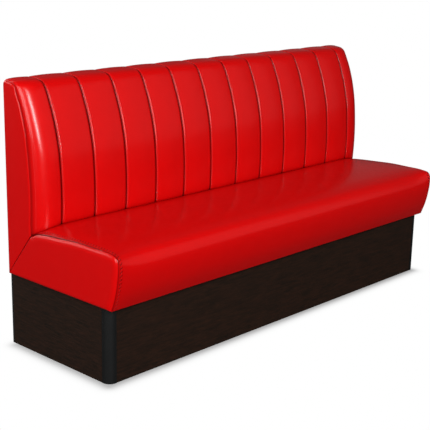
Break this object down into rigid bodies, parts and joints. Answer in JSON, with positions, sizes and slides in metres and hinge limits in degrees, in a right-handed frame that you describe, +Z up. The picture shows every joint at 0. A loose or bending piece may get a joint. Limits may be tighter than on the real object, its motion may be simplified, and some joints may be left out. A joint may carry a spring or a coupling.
{
  "type": "booth bench",
  "caption": "Restaurant booth bench: channelled leatherette back and crowned seat on a dark laminate plinth with rounded black corner profiles.",
  "frame": {"origin": "on the floor, under the middle of the whole bench's box", "axes": "+X along the bench to the sitter's left, +Y from the seat's nose to the rear face, +Z up"},
  "size_m": [2, 0.634, 1.0499],
  "materials": {
    "red_leatherette": "satin coated fabric with a fine grain",
    "upholstery_foam": "open-cell foam",
    "black_cambric": "thin non-woven cloth",
    "wenge_laminate": "satin laminate with a fine dark grain",
    "black_board": "black faced board",
    "black_profile": "satin black",
    "birch_plywood": "raw",
    "pine_timber": "planed",
    "hardboard": "smooth",
    "zinc_steel": "bright zinc plate"
  },
  "bodies": {
    "root": {"back_bottom_rail": "pine_timber", "back_channel_pad_01": "upholstery_foam", "back_channel_pad_02": "upholstery_foam", "back_channel_pad_03": "upholstery_foam", "back_channel_pad_04": "upholstery_foam", "back_channel_pad_05": "upholstery_foam", "back_channel_pad_06": "upholstery_foam", "back_channel_pad_07": "upholstery_foam", "back_channel_pad_08": "upholstery_foam", "back_channel_pad_09": "upholstery_foam", "back_channel_pad_10": "upholstery_foam", "back_channel_pad_11": "upholstery_foam", "back_channel_pad_12": "upholstery_foam", "back_channel_pad_13": "upholstery_foam", "back_cover_front": "red_leatherette", "back_cover_left_side": "red_leatherette", "back_cover_rear": "red_leatherette", "back_cover_right_side": "red_leatherette", "back_former_1": "birch_plywood", "back_former_2": "birch_plywood", "back_former_3": "birch_plywood", "back_left_end_panel": "birch_plywood", "back_left_side_pad": "upholstery_foam", "back_middle_rail": "birch_plywood", "back_rear_board": "hardboard", "back_right_end_panel": "birch_plywood", "back_right_side_pad": "upholstery_foam", "back_support_board": "birch_plywood", "back_top_rail": "birch_plywood", "cover_staples": "zinc_steel", "dust_cover": "black_cambric", "fixing_screws": "zinc_steel", "joining_bolts": "zinc_steel", "plinth_corner_blocks": "pine_timber", "plinth_front_cleat": "pine_timber", "plinth_front_panel": "wenge_laminate", "plinth_left_corner_profile": "black_profile", "plinth_left_panel": "wenge_laminate", "plinth_rear_cleat": "pine_timber", "plinth_rear_panel": "black_board", "plinth_rib_1": "birch_plywood", "plinth_rib_2": "birch_plywood", "plinth_rib_3": "birch_plywood", "plinth_right_corner_profile": "black_profile", "plinth_right_panel": "wenge_laminate", "seat_cover_left_side": "red_leatherette", "seat_cover_right_side": "red_leatherette", "seat_cover_top": "red_leatherette", "seat_cross_rail_1": "pine_timber", "seat_cross_rail_2": "pine_timber", "seat_deck": "birch_plywood", "seat_foam_base": "upholstery_foam", "seat_foam_nose": "upholstery_foam", "seat_foam_top": "upholstery_foam", "seat_front_rail": "pine_timber", "seat_left_rail": "pine_timber", "seat_left_side_pad": "upholstery_foam", "seat_rear_rail": "pine_timber", "seat_right_rail": "pine_timber", "seat_right_side_pad": "upholstery_foam"}
  },
  "joints": []
}
